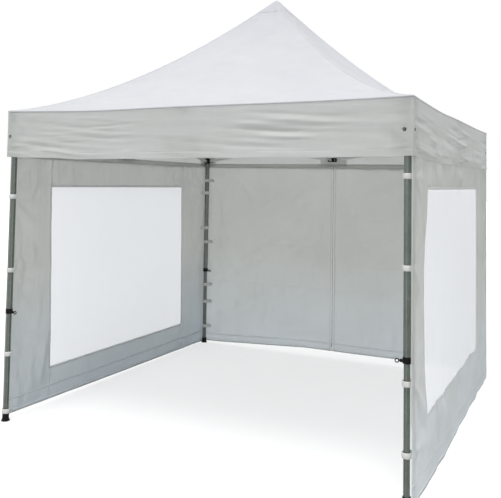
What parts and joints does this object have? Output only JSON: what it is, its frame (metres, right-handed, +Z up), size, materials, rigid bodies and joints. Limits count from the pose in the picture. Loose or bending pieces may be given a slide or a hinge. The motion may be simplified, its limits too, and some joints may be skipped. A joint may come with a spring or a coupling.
{
  "type": "marquee tent",
  "caption": "Square folding marquee tent with a peaked fabric roof, deep valance, telescoping hexagonal legs, scissor trusses and three hung walls, two with clear windows, open at the front",
  "frame": {"origin": "centre of the square footprint, on the ground", "axes": "+Z up, the open front faces -Y, +X to the right seen from the front"},
  "size_m": [3, 3, 3.2923],
  "materials": {
    "roof_fabric": "white coated polyester, taut, matt",
    "valance_fabric": "off-white coated polyester with tension creases",
    "wall_fabric": "light grey-white polyester, slightly see-through to light",
    "window_film": "clear flexible vinyl film",
    "zip_tape": "woven tape with coil teeth",
    "leg_metal": "grey anodised extrusion, satin",
    "truss_metal": "grey anodised extrusion, satin",
    "black_plastic": "glass-filled nylon moulding, fine texture",
    "pin_steel": "black plated steel pin and split ring"
  },
  "bodies": {
    "tent": {"roof_front": "roof_fabric", "roof_right": "roof_fabric", "roof_back": "roof_fabric", "roof_left": "roof_fabric", "valance": "valance_fabric", "wall_left": "wall_fabric", "wall_right": "wall_fabric", "back_wall_left": "wall_fabric", "back_wall_right": "wall_fabric", "window_left": "window_film", "window_right": "window_film", "back_zip": "zip_tape", "outer_leg_front_left": "leg_metal", "clamp_front_left": "black_plastic", "slider_front_left": "black_plastic", "top_bracket_front_left": "black_plastic", "outer_leg_front_right": "leg_metal", "clamp_front_right": "black_plastic", "slider_front_right": "black_plastic", "top_bracket_front_right": "black_plastic", "outer_leg_back_left": "leg_metal", "clamp_back_left": "black_plastic", "slider_back_left": "black_plastic", "top_bracket_back_left": "black_plastic", "outer_leg_back_right": "leg_metal", "clamp_back_right": "black_plastic", "slider_back_right": "black_plastic", "top_bracket_back_right": "black_plastic", "truss_front": "truss_metal", "truss_right": "truss_metal", "truss_back": "truss_metal", "truss_left": "truss_metal", "inner_truss": "truss_metal", "mast": "truss_metal"},
    "leg_front_left": {"inner_leg_front_left": "leg_metal", "foot_front_left": "black_plastic"},
    "pin_front_left": {"pull_pin_front_left": "pin_steel"},
    "leg_front_right": {"inner_leg_front_right": "leg_metal", "foot_front_right": "black_plastic"},
    "pin_front_right": {"pull_pin_front_right": "pin_steel"},
    "leg_back_left": {"inner_leg_back_left": "leg_metal", "foot_back_left": "black_plastic"},
    "pin_back_left": {"pull_pin_back_left": "pin_steel"},
    "leg_back_right": {"inner_leg_back_right": "leg_metal", "foot_back_right": "black_plastic"},
    "pin_back_right": {"pull_pin_back_right": "pin_steel"}
  },
  "joints": [
    {"name": "height_front_left", "type": "slide", "parent": "tent", "child": "leg_front_left", "axis": [0, 0, 1], "range_m": [0, 0.2]},
    {"name": "height_front_right", "type": "slide", "parent": "tent", "child": "leg_front_right", "axis": [0, 0, 1], "range_m": [0, 0.2]},
    {"name": "height_back_left", "type": "slide", "parent": "tent", "child": "leg_back_left", "axis": [0, 0, 1], "range_m": [0, 0.2]},
    {"name": "height_back_right", "type": "slide", "parent": "tent", "child": "leg_back_right", "axis": [0, 0, 1], "range_m": [0, 0.2]},
    {"name": "pull_front_left", "type": "slide", "parent": "tent", "child": "pin_front_left", "axis": [1, 0, 0], "range_m": [0, 0.01], "stiffness_N_per_m": 300, "springref_m": -0.004},
    {"name": "pull_front_right", "type": "slide", "parent": "tent", "child": "pin_front_right", "axis": [-1, 0, 0], "range_m": [0, 0.01], "stiffness_N_per_m": 300, "springref_m": -0.004},
    {"name": "pull_back_left", "type": "slide", "parent": "tent", "child": "pin_back_left", "axis": [1, 0, 0], "range_m": [0, 0.01], "stiffness_N_per_m": 300, "springref_m": -0.004},
    {"name": "pull_back_right", "type": "slide", "parent": "tent", "child": "pin_back_right", "axis": [-1, 0, 0], "range_m": [0, 0.01], "stiffness_N_per_m": 300, "springref_m": -0.004}
  ]
}
